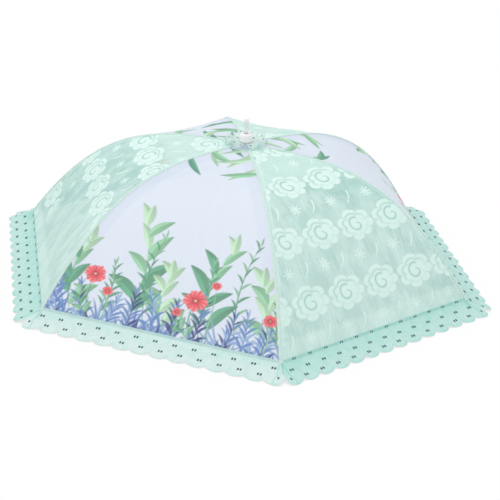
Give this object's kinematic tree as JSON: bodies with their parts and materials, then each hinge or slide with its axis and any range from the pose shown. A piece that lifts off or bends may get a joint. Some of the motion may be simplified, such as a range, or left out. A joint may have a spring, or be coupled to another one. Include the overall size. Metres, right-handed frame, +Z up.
{
  "type": "mesh food cover umbrella",
  "caption": "Pop-up hexagonal food cover of alternating printed and lace gores on hinged ribs, with a scalloped lace trim and a pull tab on its crown.",
  "frame": {"origin": "on the table under the middle of the crown", "axes": "+Z up through the crown and the pull tab, -Y towards the first rib, so two opposite ribs lie along Y"},
  "size_m": [0.6956, 0.78, 0.2361],
  "materials": {
    "white_plastic": "moulded, softly glossy",
    "bright_steel": "bright drawn wire",
    "coated_wire": "pale coated spring wire",
    "print_fabric": "fine plain weave, printed with leaves and flowers",
    "lace_mesh": "open net with raised flowers",
    "lace_trim": "dotted lace with a scalloped edge",
    "ribbon": "white satin ribbon"
  },
  "bodies": {
    "crown": {"crown_hub": "white_plastic", "crown_cap": "white_plastic", "crown_ring": "bright_steel", "rosette": "lace_trim", "lace_gore_1": "lace_mesh", "print_gore_1": "print_fabric", "lace_gore_2": "lace_mesh", "print_gore_2": "print_fabric", "lace_gore_3": "lace_mesh", "print_gore_3": "print_fabric", "lace_trim_1": "lace_trim", "lace_trim_2": "lace_trim", "lace_trim_3": "lace_trim", "lace_trim_4": "lace_trim", "lace_trim_5": "lace_trim", "lace_trim_6": "lace_trim"},
    "rib_1": {"rib_1": "coated_wire", "rib_rivet_1": "bright_steel", "corner_pocket_1": "lace_trim", "rib_foot_1": "white_plastic"},
    "rib_2": {"rib_2": "coated_wire", "rib_rivet_2": "bright_steel", "corner_pocket_2": "lace_trim", "rib_foot_2": "white_plastic"},
    "rib_3": {"rib_3": "coated_wire", "rib_rivet_3": "bright_steel", "corner_pocket_3": "lace_trim", "rib_foot_3": "white_plastic"},
    "rib_4": {"rib_4": "coated_wire", "rib_rivet_4": "bright_steel", "corner_pocket_4": "lace_trim", "rib_foot_4": "white_plastic"},
    "rib_5": {"rib_5": "coated_wire", "rib_rivet_5": "bright_steel", "corner_pocket_5": "lace_trim", "rib_foot_5": "white_plastic"},
    "rib_6": {"rib_6": "coated_wire", "rib_rivet_6": "bright_steel", "corner_pocket_6": "lace_trim", "rib_foot_6": "white_plastic"},
    "strut_1": {"strut_1": "white_plastic"},
    "strut_2": {"strut_2": "white_plastic"},
    "strut_3": {"strut_3": "white_plastic"},
    "strut_4": {"strut_4": "white_plastic"},
    "strut_5": {"strut_5": "white_plastic"},
    "strut_6": {"strut_6": "white_plastic"},
    "runner": {"runner": "white_plastic", "runner_ring": "bright_steel", "runner_stem": "white_plastic", "pull_tab": "ribbon"}
  },
  "joints": [
    {"name": "fold", "type": "hinge", "parent": "crown", "child": "rib_1", "pos_m": [0, -0.011, 0.19], "axis": [1, 0, 0], "range_deg": [0, 58]},
    {"name": "rib_2_hinge", "type": "hinge", "parent": "crown", "child": "rib_2", "pos_m": [0.00953, -0.0055, 0.19], "axis": [0.5, 0.866, 0], "range_deg": [0, 58]},
    {"name": "rib_3_hinge", "type": "hinge", "parent": "crown", "child": "rib_3", "pos_m": [0.00953, 0.0055, 0.19], "axis": [-0.5, 0.866, 0], "range_deg": [0, 58]},
    {"name": "rib_4_hinge", "type": "hinge", "parent": "crown", "child": "rib_4", "pos_m": [0, 0.011, 0.19], "axis": [-1, 0, 0], "range_deg": [0, 58]},
    {"name": "rib_5_hinge", "type": "hinge", "parent": "crown", "child": "rib_5", "pos_m": [-0.00953, 0.0055, 0.19], "axis": [-0.5, -0.866, 0], "range_deg": [0, 58]},
    {"name": "rib_6_hinge", "type": "hinge", "parent": "crown", "child": "rib_6", "pos_m": [-0.00953, -0.0055, 0.19], "axis": [0.5, -0.866, 0], "range_deg": [0, 58]},
    {"name": "strut_1_hinge", "type": "hinge", "parent": "rib_1", "child": "strut_1", "pos_m": [0, -0.02642, 0.18572], "axis": [1, 0, 0], "range_deg": [-116, 0]},
    {"name": "strut_2_hinge", "type": "hinge", "parent": "rib_2", "child": "strut_2", "pos_m": [0.02288, -0.01321, 0.18572], "axis": [0.5, 0.866, 0], "range_deg": [-116, 0]},
    {"name": "strut_3_hinge", "type": "hinge", "parent": "rib_3", "child": "strut_3", "pos_m": [0.02288, 0.01321, 0.18572], "axis": [-0.5, 0.866, 0], "range_deg": [-116, 0]},
    {"name": "strut_4_hinge", "type": "hinge", "parent": "rib_4", "child": "strut_4", "pos_m": [0, 0.02642, 0.18572], "axis": [-1, 0, 0], "range_deg": [-116, 0]},
    {"name": "strut_5_hinge", "type": "hinge", "parent": "rib_5", "child": "strut_5", "pos_m": [-0.02288, 0.01321, 0.18572], "axis": [-0.5, -0.866, 0], "range_deg": [-116, 0]},
    {"name": "strut_6_hinge", "type": "hinge", "parent": "rib_6", "child": "strut_6", "pos_m": [-0.02288, -0.01321, 0.18572], "axis": [0.5, -0.866, 0], "range_deg": [-116, 0]},
    {"name": "runner_hinge", "type": "hinge", "parent": "strut_1", "child": "runner", "pos_m": [0, -0.011, 0.18145], "axis": [1, 0, 0], "range_deg": [0, 58]}
  ],
  "couplings": [
    {"joint": "rib_2_hinge", "follows": "fold", "ratio": 1},
    {"joint": "rib_3_hinge", "follows": "fold", "ratio": 1},
    {"joint": "rib_4_hinge", "follows": "fold", "ratio": 1},
    {"joint": "rib_5_hinge", "follows": "fold", "ratio": 1},
    {"joint": "rib_6_hinge", "follows": "fold", "ratio": 1},
    {"joint": "strut_1_hinge", "follows": "fold", "ratio": -2},
    {"joint": "strut_2_hinge", "follows": "fold", "ratio": -2},
    {"joint": "strut_3_hinge", "follows": "fold", "ratio": -2},
    {"joint": "strut_4_hinge", "follows": "fold", "ratio": -2},
    {"joint": "strut_5_hinge", "follows": "fold", "ratio": -2},
    {"joint": "strut_6_hinge", "follows": "fold", "ratio": -2},
    {"joint": "runner_hinge", "follows": "fold", "ratio": 1}
  ]
}
